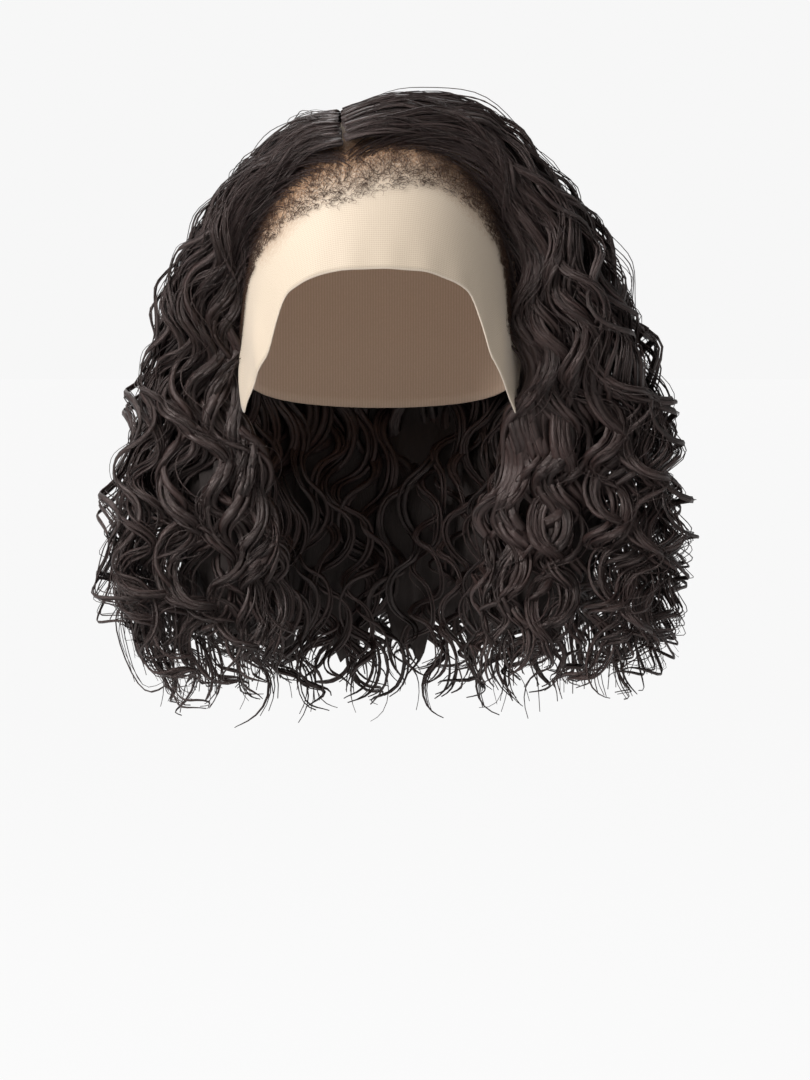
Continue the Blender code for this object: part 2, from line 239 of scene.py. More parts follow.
@dataclass(frozen=True)
class HairForm:
    """The form that the hair falls in, as its solids have it."""

    head: Head = Head()
    right_reach: float = 0.169
    left_reach: float = 0.154
    back_reach: float = 0.140
    front_reach: float = 0.108
    hang_drop: float = 0.224
    side_rise: float = 0.026
    tip_rise: float = 0.009
    parting_offset: float = 0.0215
    parting_length: float = 0.082
    parting_start: float = math.radians(31)
    parting_gap: float = 0.0003
    whorl_radius: float = 0.0009
    root_depth: float = 0.0035
    seat: float = 0.0035
    nape_drop: float = 0.040
    nape_ease: float = 0.050
    lock_count: int = 28
    edge_locks: int = 3
    dome_rows: int = 9
    hang_rows: int = 20
    right_shoulder: tuple = (math.radians(76), math.radians(43))
    left_shoulder: tuple = (math.radians(58), math.radians(50))
    side_lean: float = math.radians(46)
    parting_share: float = 0.38
    dome_effort: float = 0.185
    dome_travel: float = 0.200

    @property
    def rows(self) -> int:
        """How many rows there are from the parting to the tips."""
        return self.dome_rows + self.hang_rows

    def root(self, share: np.ndarray) -> np.ndarray:
        """Finds where hair leaves the parting.

        Args:
            share: Shares of the way round.

        Returns:
            Directions from the head's centre: back along the parting, round the whorl and forward again.
        """
        rise = self.head.rise
        middle, gap, whorl = -self.parting_offset / rise, self.parting_gap / rise, self.whorl_radius / rise
        start = -math.tan(self.parting_start)
        rear = start + self.parting_length / rise
        side = np.minimum(share, 1 - share) / self.parting_share
        hand = np.where(share < 0.5, 1.0, -1.0)
        spread = gap + (whorl - gap) * np.clip(side, 0, 1) ** 4
        angle = math.pi * (share - self.parting_share) / (1 - 2 * self.parting_share)
        x = np.where(side < 1, middle + hand * spread, middle + whorl * np.cos(angle))
        y = np.where(side < 1, start + (rear - start) * side, rear + whorl * np.sin(angle))
        return unit(np.stack([x, y, np.ones_like(x)], axis=-1))

    def rolled(self, share: np.ndarray) -> tuple:
        """Works out how far columns have rolled round the hair's front edges.

        Args:
            share: Shares of the way round.

        Returns:
            The share that the outside has there, and how deep the hair is there, from 0 to 1.
        """
        near = np.minimum(share, 1 - share)
        edge = self.edge_locks / self.lock_count
        angle = np.clip(near / edge, 0, 1) * math.pi / 2
        past = edge / 3 + (0.5 - edge / 3) * (near - edge) / (0.5 - edge)
        turn = np.where(near >= edge, past, edge / 3 * (1 - np.cos(angle)))
        return np.where(share < 0.5, turn, 1 - turn), np.sin(angle)

    def turn(self, share: np.ndarray, drop: np.ndarray) -> np.ndarray:
        """Returns the angle from straight ahead of columns of hair at a share of the drop."""
        right = np.radians(read(LEVELS, "drop", "face_right", drop))
        left = np.radians(read(LEVELS, "drop", "face_left", drop))
        return right + (2 * math.pi - left - right) * share

    def outer_radius(self, turn: np.ndarray, drop: np.ndarray) -> np.ndarray:
        """Returns how far the hair reaches out from the head's axis."""
        return self.head.ring(
            turn,
            self.right_reach * read(LEVELS, "drop", "right", drop),
            self.left_reach * read(LEVELS, "drop", "left", drop),
            self.front_reach * read(LEVELS, "drop", "front", drop),
            self.back_reach * read(LEVELS, "drop", "back", drop),
        )

    def inner_radius(self, turn: np.ndarray, drop: np.ndarray, fall: np.ndarray) -> np.ndarray:
        """Measures the hollow below the head's widest level.

        Args:
            turn: Angles from straight ahead.
            drop: Shares of the way down.
            fall: How far below the widest level that is.

        Returns:
            The hollow's radius: as the head as far as the cap goes, then as the neck.
        """
        neck = read(LEVELS, "drop", "neck", drop)
        past = np.maximum(0, fall - self.nape_drop - self.hang_drop / self.hang_rows) / self.nape_ease
        power = self.head.dome_squareness
        dome = (1 - np.minimum(1, fall / self.head.rise) ** power) ** (1 / power)
        share = np.maximum(neck, dome * (1 - past))
        wide = self.head.width / 2 * share + self.seat
        deep = self.head.depth / 2 * share + self.seat
        return self.head.ring(turn, wide, wide, deep, deep)

    def dome_direction(self, share: np.ndarray, turn: np.ndarray, along: np.ndarray) -> np.ndarray:
        """Finds the way over the head from the parting to the widest level.

        Args:
            share: Shares of the way round at the root.
            turn: The angle that each column ends at.
            along: The share of the way down to the widest level.

        Returns:
            Directions from the head's centre, bent round a shoulder.
        """
        right = share < 0.5
        front = np.maximum(0, 1 - np.minimum(share, 1 - share) / 0.3)
        offset = np.where(
            right,
            self.right_shoulder[0] - math.radians(LEVELS[0].face_right),
            -(self.left_shoulder[0] - math.radians(LEVELS[0].face_left)),
        )
        lean = np.where(right, self.right_shoulder[1], self.left_shoulder[1])
        bend = aimed(turn + offset * front, self.side_lean + (lean - self.side_lean) * front)
        end = aimed(turn, math.pi / 2)
        way = along[..., None]
        return unit(self.root(share) * (1 - way) ** 2 + bend * 2 * way * (1 - way) + end * way**2)

    def point(self, share: np.ndarray, depth: np.ndarray, row: np.ndarray) -> np.ndarray:
        """Places points in the hair.

        Args:
            share: 0 at the right of the face to 1 at its left.
            depth: 0 on the cap to 1 on the outside.
            row: Rows down from the parting.

        Returns:
            The points, on the last axis.
        """
        share, depth, row = np.broadcast_arrays(*(np.asarray(a, float) for a in (share, depth, row)))
        share = np.clip(share, 0, 1)
        rolled, full = self.rolled(share)
        column = share + (rolled - share) * depth
        deep = depth * full
        along = np.clip(row / self.dome_rows, 0, 1)
        drop = np.clip((row - self.dome_rows) / self.hang_rows, 0, 1.15)
        turn = self.turn(column, drop)
        direction = self.dome_direction(share, turn, along)
        level = self.turn(column, 0 * drop)
        thick = self.outer_radius(level, 0 * drop) - self.inner_radius(level, 0 * drop, 0 * drop)
        thick = self.root_depth + (thick - self.root_depth) * along**0.8
        lifted = deep + (depth - deep) * (1 - along) ** 2
        over = self.head.reach(direction, self.seat) + thick * lifted
        fall = (self.hang_drop - self.tip_rise - self.side_rise * np.abs(np.sin(turn)) ** 3) * drop
        inner = self.inner_radius(turn, drop, fall)
        radius = inner + (self.outer_radius(turn, drop) - inner) * deep
        dome = direction * over[..., None]
        hang = np.stack([np.sin(turn) * radius, -np.cos(turn) * radius, -fall], axis=-1)
        return self.head.centre + np.where((row <= self.dome_rows)[..., None], dome, hang)

    def rows_between(self, start: np.ndarray, end: np.ndarray, steps: int) -> np.ndarray:
        """Spaces rows along hair, closer together where it curls.

        Args:
            start: The row that each path starts at.
            end: The row that each path ends at.
            steps: How many points a path has.

        Returns:
            The rows, one line a path.
        """
        below = np.linspace(0, 1.2, 25)
        knots = np.concatenate([[0.0], self.dome_rows + below * self.hang_rows])
        hang = self.hang_drop * below * (1 + 0.45 * below)
        effort = np.concatenate([[0.0], self.dome_effort + hang])
        first = np.interp(start, knots, effort)[:, None]
        last = np.interp(end, knots, effort)[:, None]
        return np.interp(first + (last - first) * np.linspace(0, 1, steps), effort, knots)

    def travel(self, row: np.ndarray) -> np.ndarray:
        """Returns how far along a lock a row is, in metres below the head's widest level."""
        over = (row / self.dome_rows - 1) * self.dome_travel
        below = (row - self.dome_rows) / self.hang_rows * self.hang_drop
        return np.where(row <= self.dome_rows, over, below)


@dataclass
class Clumps:
    """Bunches of hair that curl together, one value each."""

    number: np.ndarray
    share: np.ndarray
    depth: np.ndarray
    start: np.ndarray
    end: np.ndarray
    phase: np.ndarray
    pace: np.ndarray
    size: np.ndarray
    hand: np.ndarray
    pitch: float


@dataclass
class Tufts:
    """Many strips or strands as paths through the hair, with a frame across each path."""

    middle: np.ndarray
    sideways: np.ndarray
    outwards: np.ndarray
    wide: np.ndarray
    thick: np.ndarray
    along: np.ndarray
    number: np.ndarray

    def swept(self, profile: np.ndarray) -> tuple:
        """Sweeps a closed section along every path.

        Args:
            profile: The section's points, as shares of the half width and the half thickness.

        Returns:
            The points, the side faces, the end faces and each path's corners' texture coordinates.
        """
        count, steps = self.middle.shape[:2]
        sides = len(profile)
        across = self.sideways[:, :, None] * (self.wide[..., None, None] * profile[:, 0][:, None])
        out = self.outwards[:, :, None] * (self.thick[..., None, None] * profile[:, 1][:, None])
        points = (self.middle[:, :, None] + across + out).reshape(-1, 3)
        number = np.arange(count * steps * sides).reshape(count, steps, sides)
        upper, lower = number[:, :-1], number[:, 1:]
        quads = np.stack([upper, np.roll(upper, -1, 2), np.roll(lower, -1, 2), lower], axis=-1).reshape(-1, 4)
        caps = np.concatenate([number[:, 0, ::-1], number[:, -1]])
        u = self.number[:, None, None] + (np.arange(sides) / sides)[None, None]
        u = np.broadcast_to(u, (count, steps - 1, sides))
        top = np.broadcast_to(self.along[:, :-1, None], u.shape)
        low = np.broadcast_to(self.along[:, 1:, None], u.shape)
        step = 1 / sides
        corners = np.stack([u, top, u + step, top, u + step, low, u, low], axis=-1).reshape(-1, 2)
        flat = np.concatenate([np.repeat(self.number, sides)] * 2)
        ends = np.stack([flat + 0.5, np.zeros(len(flat))], axis=-1)
        return points, quads, caps, np.concatenate([corners, ends])


def points_of(mesh: bpy.types.Mesh) -> np.ndarray:
    """Returns the mesh's vertices, one row each."""
    flat = np.empty(len(mesh.vertices) * 3, np.float32)
    mesh.vertices.foreach_get("co", flat)
    return flat.reshape(-1, 3).astype(float)


def write(items: bpy.types.bpy_prop_collection, key: str, data: np.ndarray, kind: type = np.float32) -> None:
    """Writes an array into one property of many items."""
    items.foreach_set(key, np.ascontiguousarray(data, kind).ravel())


def mesh_of(name: str, points: np.ndarray, faces: list, corners: np.ndarray) -> bpy.types.Object:
    """Makes a smooth mesh object from arrays.

    Args:
        name: The piece's name.
        points: The vertices.
        faces: Arrays of faces, each array with faces of one size.
        corners: Texture coordinates, one for each face corner in order.

    Returns:
        The new object, at the origin.
    """
    loops = np.concatenate([part.reshape(-1) for part in faces])
    sizes = np.concatenate([np.full(len(part), part.shape[1]) for part in faces])
    mesh = bpy.data.meshes.new(name)
    mesh.vertices.add(len(points))
    write(mesh.vertices, "co", points)
    mesh.loops.add(len(loops))
    write(mesh.loops, "vertex_index", loops, np.int32)
    mesh.polygons.add(len(sizes))
    write(mesh.polygons, "loop_start", np.cumsum(sizes) - sizes, np.int32)
    write(mesh.polygons, "use_smooth", np.ones(len(sizes)), bool)
    write(mesh.uv_layers.new(name="strand").data, "uv", corners)
    mesh.update(calc_edges=True)
    piece = bpy.data.objects.new(name, mesh)
    bpy.context.scene.collection.objects.link(piece)
    return piece


def ring_profile(sides: int) -> np.ndarray:
    """Returns the points of a section with a radius of one."""
    angle = np.linspace(0, 2 * math.pi, sides, endpoint=False)
    return np.stack([np.cos(angle), np.sin(angle)], axis=-1)


def joined(name: str, parts: list) -> bpy.types.Object:
    """Joins swept parts into one mesh.

    Args:
        name: The piece's name.
        parts: What each sweep returned.

    Returns:
        The new object.
    """
    points, quads, caps, sides, ends, first = [], [], [], [], [], 0
    for own_points, own_quads, own_caps, own_corners in parts:
        points.append(own_points)
        quads.append(own_quads + first)
        caps.append(own_caps + first)
        sides.append(own_corners[: own_quads.size])
        ends.append(own_corners[own_quads.size :])
        first += len(own_points)
    return mesh_of(name, np.concatenate(points), quads + caps, np.concatenate(sides + ends))


def placed(piece: bpy.types.Object, finish: bpy.types.Material, slot: str, *nodes: str) -> bpy.types.Object:
    """Dresses a piece and gives it its place in the frame.

    Args:
        piece: The new piece.
        finish: Its material.
        slot: Not used.
        *nodes: The solids that it stands for.

    Returns:
        The same piece.
    """
    piece.data.materials.clear()
    piece.data.materials.append(finish)
    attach(piece, "root")
    if nodes:
        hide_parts(*nodes)
    LOG.info("%s: %d triangles", piece.name, len(piece.data.loops) - 2 * len(piece.data.polygons))
    return piece


class Nodes:
    """A small helper that wires one material's nodes."""

    def __init__(self, name: str) -> None:
        """Starts a material with its shader.

        Args:
            name: The material's name.
        """
        self.material = bpy.data.materials.new(name)
        self.material.use_nodes = True
        self.tree = self.material.node_tree
        self.shader = self.tree.nodes["Principled BSDF"]

    def add(self, kind: str, inputs: dict | None = None, **settings: object) -> bpy.types.Node:
        """Adds a node.

        Args:
            kind: The node's type.
            inputs: Values, or sockets to link, by input name or number.
            **settings: Properties of the node.

        Returns:
            The node.
        """
        node = self.tree.nodes.new(kind)
        for key, value in settings.items():
            setattr(node, key, value)
        for key, value in (inputs or {}).items():
            self.give(node, key, value)
        return node

    def give(self, node: bpy.types.Node, key: object, value: object) -> None:
        """Links a socket to an input, or sets the input's value."""
        if isinstance(value, bpy.types.NodeSocket):
            self.tree.links.new(value, node.inputs[key])
        else:
            node.inputs[key].default_value = value

    def set_shader(self, **values: object) -> None:
        """Sets or links the shader's inputs, with underscores for spaces."""
        for key, value in values.items():
            self.give(self.shader, key.replace("_", " "), value)

    def maths(self, operation: str, *values: object) -> bpy.types.NodeSocket:
        """Works out one sum of values or sockets."""
        return self.add("ShaderNodeMath", dict(enumerate(values)), operation=operation).outputs[0]

    def remapped(self, value: object, **ends: float) -> bpy.types.NodeSocket:
        """Maps a value between ranges, whose ends have underscores for spaces."""
        ranges = {key.replace("_", " "): end for key, end in ends.items()}
        return self.add("ShaderNodeMapRange", {"Value": value, **ranges}).outputs[0]

    def noise(self, place: object, scale: float, detail: float, **more: float) -> bpy.types.NodeSocket:
        """Makes noise at a place."""
        inputs = {"Vector": place, "Scale": scale, "Detail": detail, **more}
        return self.add("ShaderNodeTexNoise", inputs).outputs["Fac"]

    def blended(self, factor: object, *colours: object) -> bpy.types.NodeSocket:
        """Mixes two colours, each a tuple of three numbers or a socket."""
        node = self.add("ShaderNodeMix", {"Factor": factor}, data_type="RGBA")
        for place, colour in zip((6, 7), colours):
            self.give(node, place, (*colour, 1) if isinstance(colour, tuple) else colour)
        return node.outputs[2]

    def bumped(self, height: object, strength: float, distance: float, **more: bool) -> bpy.types.NodeSocket:
        """Turns a height into a bumped normal."""
        inputs = {"Height": height, "Strength": strength, "Distance": distance}
        return self.add("ShaderNodeBump", inputs, **more).outputs[0]


@dataclass(frozen=True)
class HairFinish:
    """Silky dark hair: fine streaks along each lock, and clumps that differ a little in tone."""

    name: str
    deep: tuple = (0.0024, 0.0014, 0.0013)
    light: tuple = (0.0370, 0.0210, 0.0188)
    roughness: float = 0.37
    gloss: float = 0.44
    tint: tuple = (1.0, 0.87, 0.83, 1.0)
    streaks: tuple = (15.0, 5.0, 1.0)
    bump: float = 0.9
    bump_depth: float = 0.0006
    lock_share: float = 0.15
    clump_share: float = 0.18
    tones: tuple = (0.45, 0.88)
    smoother: float = 0.07
    rougher: float = 0.14

    def build(self) -> bpy.types.Material:
        """Makes the material."""
        nodes = Nodes(self.name)
        place = nodes.add("ShaderNodeUVMap", uv_map="strand").outputs[0]
        number = nodes.add("ShaderNodeSeparateXYZ", {0: place}).outputs["X"]
        lock = nodes.maths("FLOOR", number)
        clump = nodes.maths("FLOOR", nodes.maths("DIVIDE", number, NUMBERS_A_CLUMP))
        lock_tone, clump_tone = (
            nodes.add("ShaderNodeTexWhiteNoise", {"W": which}, noise_dimensions="1D").outputs["Value"]
            for which in (lock, clump)
        )
        stretched = nodes.add("ShaderNodeMapping", {"Vector": place, "Scale": self.streaks})
        streak = nodes.noise(stretched.outputs[0], 1.0, 4.0, Roughness=0.8)
        tone = nodes.maths("MULTIPLY_ADD", lock_tone, self.lock_share, streak)
        tone = nodes.maths("MULTIPLY_ADD", clump_tone, self.clump_share, tone)
        ramp = nodes.add("ShaderNodeValToRGB", {"Fac": tone})
        for stop, position, colour in zip(ramp.color_ramp.elements, self.tones, (self.deep, self.light)):
            stop.position = position
            stop.color = (*colour, 1)
        rough = nodes.remapped(
            streak, To_Min=self.roughness - self.smoother, To_Max=self.roughness + self.rougher
        )
        bump = nodes.bumped(streak, self.bump, self.bump_depth)
        nodes.set_shader(Base_Color=ramp.outputs[0], Roughness=rough, Normal=bump)
        nodes.set_shader(Specular_IOR_Level=self.gloss, Specular_Tint=self.tint)
        return nodes.material


@dataclass(frozen=True)
class LaceFinish:
    """Sheer lace: a fine six-sided net, thicker along its cut edge."""

    name: str = "sheer_lace"
    thread: tuple = (0.50, 0.415, 0.32)
    hole: tuple = (0.465, 0.38, 0.288)
    knotted: tuple = (0.23, 0.115, 0.048)
    cut_edge: tuple = (0.62, 0.53, 0.43)
    edge_width: float = 0.0015
    mesh: float = 0.0011
    open_alpha: float = 0.76
    thread_alpha: float = 0.90
    edge_alpha: float = 0.85

    def build(self) -> bpy.types.Material:
        """Makes the material."""
        nodes = Nodes(self.name)
        place = nodes.add("ShaderNodeUVMap", uv_map="cloth").outputs[0]
        net = nodes.add(
            "ShaderNodeTexVoronoi",
            {"Vector": place, "Scale": 1 / self.mesh, "Randomness": 0.22},
            feature="DISTANCE_TO_EDGE",
            voronoi_dimensions="2D",
        )
        thread = nodes.remapped(net.outputs["Distance"], From_Min=0.06, From_Max=0.20)
        rooted, from_edge = (
            nodes.add("ShaderNodeAttribute", attribute_name=name).outputs["Fac"]
            for name in ("rooted", "from_edge")
        )
        dotted = nodes.maths("MULTIPLY_ADD", rooted, nodes.noise(place, 700.0, 2.0), -0.10)
        dots = nodes.remapped(dotted, From_Max=0.30)
        cut = nodes.remapped(from_edge, From_Max=self.edge_width, To_Min=self.edge_alpha, To_Max=0.0)
        stained = nodes.blended(dots, nodes.blended(thread, self.thread, self.hole), self.knotted)
        colour = nodes.blended(cut, stained, self.cut_edge)
        sheer = nodes.remapped(thread, To_Min=self.thread_alpha, To_Max=self.open_alpha)
        alpha = nodes.maths("MAXIMUM", sheer, cut)
        bump = nodes.bumped(thread, 0.25, 0.0002, invert=True)
        nodes.set_shader(Base_Color=colour, Alpha=alpha, Normal=bump)
        nodes.set_shader(Roughness=0.62, Sheen_Weight=0.25)
        nodes.material.surface_render_method = "BLENDED"
        return nodes.material


@dataclass(frozen=True)
class ClothFinish:
    """Matt stretch cloth with a fine rib."""

    name: str = "cap_cloth"
    light: tuple = (0.66, 0.49, 0.37)
    dark: tuple = (0.50, 0.35, 0.25)
    rib: float = 0.0016

    def build(self) -> bpy.types.Material:
        """Makes the material."""
        nodes = Nodes(self.name)
        place = nodes.add("ShaderNodeTexCoord").outputs["Object"]
        rib = nodes.add(
            "ShaderNodeTexWave",
            {"Vector": place, "Scale": 0.314 / self.rib, "Distortion": 0.6, "Detail": 1.0},
            bands_direction="X",
        )
        both = nodes.maths("MULTIPLY", rib.outputs["Fac"], nodes.noise(place, 900.0, 3.0))
        colour = nodes.blended(both, self.dark, self.light)
        bump = nodes.bumped(both, 0.4, 0.0003)
        nodes.set_shader(Base_Color=colour, Normal=bump, Roughness=0.85, Sheen_Weight=0.15)
        return nodes.material


@dataclass
class Curls:
    """The hair of one stretch: locks, fine strands and the mass beneath them, which stands in for hair too
    fine to model and is darkened with painted shade.
    """

    form: HairForm
    stretch: Stretch
    finish: bpy.types.Material
    shade: bpy.types.Material
    rng: np.random.Generator
    end_crowding: float = 1.3
    tighten: float = 0.42
    rounding: float = 0.20
    hook: float = 0.66
    relief: float = 0.0015
    crown_sink: float = 0.0065
    widest_lock: float = 0.0034
    flatness: float = 0.24
    wisp: float = 0.0010
    strand: float = 0.00028
    strands_short: float = 1.6
    soft_passes: int = 12
    round_passes: int = 2
    seam: float = 0.001
    shade_edge: float = 0.036
    shade_depth: float = 0.44
    shade_short: float = 4.2
    gather_over: float = 0.26
    gather_down: float = 0.38
    harmonic: float = 0.35

    @property
    def span(self) -> tuple:
        """The first and the last share of the way round."""
        return self.stretch.first / self.form.lock_count, self.stretch.last / self.form.lock_count

    def gather(self, plan: LayerPlan) -> Clumps:
        """Places the clumps of one layer.

        Args:
            plan: The layer.

        Returns:
            The clumps, evenly round the stretch and closer together beside the face.
        """
        rng, (low, high) = self.rng, self.span
        crowding = self.end_crowding if low <= 0 or high >= 1 else 1.0
        count = max(3, round(plan.clumps * (high - low) * crowding))
        even = (np.arange(count) + 0.5 + rng.uniform(-0.22, 0.22, count)) / count
        disorder = self.stretch.curl.value.disorder * plan.looseness
        return Clumps(
            number=rng.integers(0, 4000, count),
            share=low + (high - low) * even,
            depth=np.maximum(plan.depth + rng.normal(0, plan.scatter, count), 0.01),
            start=plan.first_row + rng.uniform(0, 0.12 if plan.first_row == 0 else 1.5, count),
            end=self.form.rows + rng.uniform(-2.6, 0.8, count) - 1.2 * (1 - min(plan.depth, 1.0)),
            phase=rng.normal(0, disorder, count),
            pace=1 + rng.normal(0, 0.07 * disorder, count),
            size=rng.uniform(0.80, 1.20, count) * (1 if plan.looseness <= 1 else 1.12),
            hand=rng.choice([-1.0, 1.0], count) * rng.uniform(0.55, 1.0, count),
            pitch=(high - low) / count,
        )

    def fall(self, clumps: Clumps, each: int, steps: int, stray: float, short: float = 0.0) -> Tufts:
        """Lets hair fall in clumps that wave together and come apart towards their tips.

        Args:
            clumps: The clumps.
            each: How many paths each clump has.
            steps: Points along a path.
            stray: How far paths stray from their clump, from 0 to 1.
            short: How many rows before the clump's tip they end.

        Returns:
            The paths. Their width is the room that each has beside its neighbours.
        """
        form, rng, style = self.form, self.rng, self.stretch.curl.value
        bunch = np.repeat(np.arange(len(clumps.share)), each)
        count = len(bunch)
        place = np.tile((np.arange(each) + 0.5) / each - 0.5, len(clumps.share))
        place = (place + rng.uniform(-0.5, 0.5, count) / each * (0.6 + stray))[:, None]
        end = clumps.end[bunch] - short + rng.normal(0, 0.7, count)
        row = form.rows_between(clumps.start[bunch], end, steps)
        over = np.clip(row / form.dome_rows, 0, 1)
        down = np.clip((row - form.dome_rows) / form.hang_rows, 0, 1)
        held = 1 - self.gather_over * ease(over) - self.gather_down * ease(1.1 * down)
        home = clumps.share[bunch][:, None]
        drift = clumps.pitch * 0.9 * np.sin(2.2 * down + clumps.phase[bunch][:, None] * 3) * down
        share = np.clip(home + place * clumps.pitch * held * (1 + 0.5 * stray) + drift, 0, 1)
        crown = 0.06 * (2 * place) ** 2 * over
        depth = clumps.depth[bunch][:, None] - crown + rng.normal(0, 0.012 + 0.03 * stray, (count, 1)) * over
        depth = np.maximum(depth, 0.01)
        base = softened(form.point(share, depth, row), self.soft_passes)
        across = form.point(share + 0.004, depth, row) - form.point(share - 0.004, depth, row)
        tangent = unit(np.gradient(base, axis=1))
        outwards = unit(np.cross(tangent, across))
        sideways = unit(np.cross(outwards, tangent))
        travel = form.travel(row)
        below = np.maximum(travel, 0)
        wound = travel * clumps.pace[bunch][:, None] + self.tighten * below**2 / (2 * form.hang_drop)
        phase = 2 * math.pi * wound / style.wave_length + 2.2 * np.sin(9 * home) + 1.3 * np.sin(23 * home)
        phase = phase + clumps.phase[bunch][:, None] * (1.2 + 1.1 * down)
        phase = phase + rng.normal(0, 1, (count, 1)) * (0.08 + 0.12 * down) * (0.6 + 2.4 * stray)
        strength = (0.04 + 0.96 * over**0.85) * (0.6 + 0.4 * np.minimum(1, np.minimum(home, 1 - home) * 12))
        strength = strength * clumps.size[bunch][:, None]
        strength = strength * (1 + 0.22 * np.sin(48 * travel + 5 * clumps.phase[bunch][:, None]))
        strength = strength * (1 + rng.normal(0, 0.04 + 0.12 * stray, (count, 1)))
        side = np.sign(clumps.hand[bunch])
        inward = np.clip(depth / 0.25, 0, 1)
        coil = clumps.hand[bunch][:, None] * np.cos(phase) + self.harmonic * np.cos(2 * phase)
        out = style.bulge * strength * (coil + 0.8 * (1 - inward)) * (1 + 0.5 * down)
        sunk = self.crown_sink * ease(3.5 * over) * (1 - ease((over - 0.40) / 0.40)) * depth
        out = out + self.relief * over * inward - sunk
        middle = base + sideways * (style.swing * strength * np.sin(phase))[..., None]
        middle = middle + outwards * out[..., None]
        ahead = self.hook * down * side[:, None] * np.cos(phase) - self.rounding * np.sin(2 * phase)
        middle = softened(middle + tangent * (style.swing * strength * ahead)[..., None], self.round_passes)
        tangent = unit(np.gradient(middle, axis=1))
        roll = 2.2 - 0.8 * down
        facing = unit(outwards * (roll + np.cos(phase))[..., None] + sideways * np.sin(phase)[..., None])
        sideways = unit(np.cross(facing, tangent))
        outwards = unit(np.cross(tangent, sideways))
        room = np.linalg.norm(across, axis=-1) / 0.008 * clumps.pitch * held / each
        number = clumps.number[bunch] * NUMBERS_A_CLUMP + np.tile(np.arange(each), len(clumps.share))
        return Tufts(middle, sideways, outwards, room, room, travel * 10 + number[:, None] % 7, number)

    def build_locks(self, bunches: dict) -> bpy.types.Object:
        """Makes the locks: flat strips side by side in each clump, thinning to wisps at their tips.

        Args:
            bunches: The clumps of each layer.

        Returns:
            The piece.
        """
        parts = []
        for layer, clumps in bunches.items():
            plan = layer.value
            tufts = self.fall(clumps, plan.locks, plan.steps, 0.1 if plan.looseness <= 1 else 0.4)
            along = np.linspace(0, 1, plan.steps)[None]
            varied = self.rng.uniform(0.65, 1.3, (len(tufts.middle), 1))
            wide = np.clip(0.98 * tufts.wide, 0.00035, self.widest_lock) * varied
            wide = np.maximum(wide * (1 - 0.55 * ease((along - 0.55) / 0.35)), self.wisp * varied)
            wide = wide * (1 - 0.70 * ease((along - 0.92) / 0.08)) / (1 if plan.looseness <= 1 else 1.9)
            if plan.first_row:
                wide = wide * (0.15 + 0.85 * ease(along / 0.10))
            tufts.wide = wide
            tufts.thick = 0.00018 + self.flatness * wide
            parts.append(tufts.swept(ring_profile(4)))
        name = self.stretch.node.replace("hair_", "curls_")
        return placed(joined(name, parts), self.finish, "hair", self.stretch.node)

    def build_strands(self, bunches: dict) -> bpy.types.Object:
        """Makes the fine strands that lie over each clump, stray from it and curl at their tips.

        Args:
            bunches: The clumps of each layer.

        Returns:
            The piece.
        """
        parts = []
        for layer, clumps in bunches.items():
            plan = layer.value
            if not plan.strands:
                continue
            stray = 0.30 if plan.looseness <= 1 else 0.5
            tufts = self.fall(clumps, plan.strands, plan.steps, stray, self.strands_short)
            count = len(tufts.middle)
            along = np.linspace(0, 1, plan.steps)[None]
            lift = (0.0003 + 0.0045 * self.rng.random((count, 1)) ** 4) * ease(along / 0.06)
            tufts.middle = tufts.middle + tufts.outwards * lift[..., None]
            taper = (0.35 + 0.65 * ease(along / 0.08)) * (1 - 0.5 * ease((along - 0.88) / 0.12))
            tufts.wide = self.strand * self.rng.uniform(0.75, 1.45, (count, 1)) * taper
            tufts.thick = tufts.wide
            parts.append(tufts.swept(ring_profile(3)))
        name = self.stretch.node.replace("hair_", "strands_")
        return placed(joined(name, parts), self.finish, "hair")

    def build_shade(self) -> bpy.types.Object:
        """Makes the mass of hair beneath the locks, darkened with painted shade, which thins out and stops
        short of the tips.
        """
        form = self.form
        low, high = self.span
        low = max(low + self.seam, self.shade_edge)
        high = min(high - self.seam, 1 - self.shade_edge)
        share = np.linspace(low, high, 21)[None]
        way = np.linspace(0, 1, 32)[:, None]
        ragged = 1.3 * np.sin(share * 61) + 0.7 * np.sin(share * 151)
        row = 0.4 + (form.rows - self.shade_short + ragged) * way
        open_part = 1 - 0.92 * ease((way - 0.78) / 0.22)
        ripple = 0.05 * np.sin(share * 380 + 3 * way) + 0.03 * np.sin(row * 2.1 + share * 70)
        outer = form.point(share, self.shade_depth + (0.16 + ripple) * open_part, row)
        inner = form.point(share, self.shade_depth - 0.18 * open_part, row)
        rows, columns = outer.shape[:2]
        points = np.concatenate([outer.reshape(-1, 3), inner.reshape(-1, 3)])
        number = np.arange(rows * columns).reshape(rows, columns)
        front = np.stack([number[:-1, :-1], number[:-1, 1:], number[1:, 1:], number[1:, :-1]], axis=-1)
        front = front.reshape(-1, 4)
        rim = np.concatenate([number[0, :], number[1:, -1], number[-1, -2::-1], number[-2:0:-1, 0]])
        foot = rim + rows * columns
        side = np.stack([rim, foot, np.roll(foot, -1), np.roll(rim, -1)], axis=-1)
        faces = np.concatenate([front, front[:, ::-1] + rows * columns, side])
        corners = points[faces.reshape(-1)] @ np.array([[90.0, 0.0], [70.0, 0.0], [0.0, 10.0]])
        name = self.stretch.node.replace("hair_", "under_")
        # The mass gets the darker copy of the hair finish: painted shade.
        return placed(mesh_of(name, points, [faces], corners), self.shade, "hair")

    def build(self) -> None:
        """Builds the stretch from the inside out."""
        bunches = {layer: self.gather(layer.value) for layer in Layer}
        self.build_shade()
        self.build_locks(bunches)
        self.build_strands(bunches)


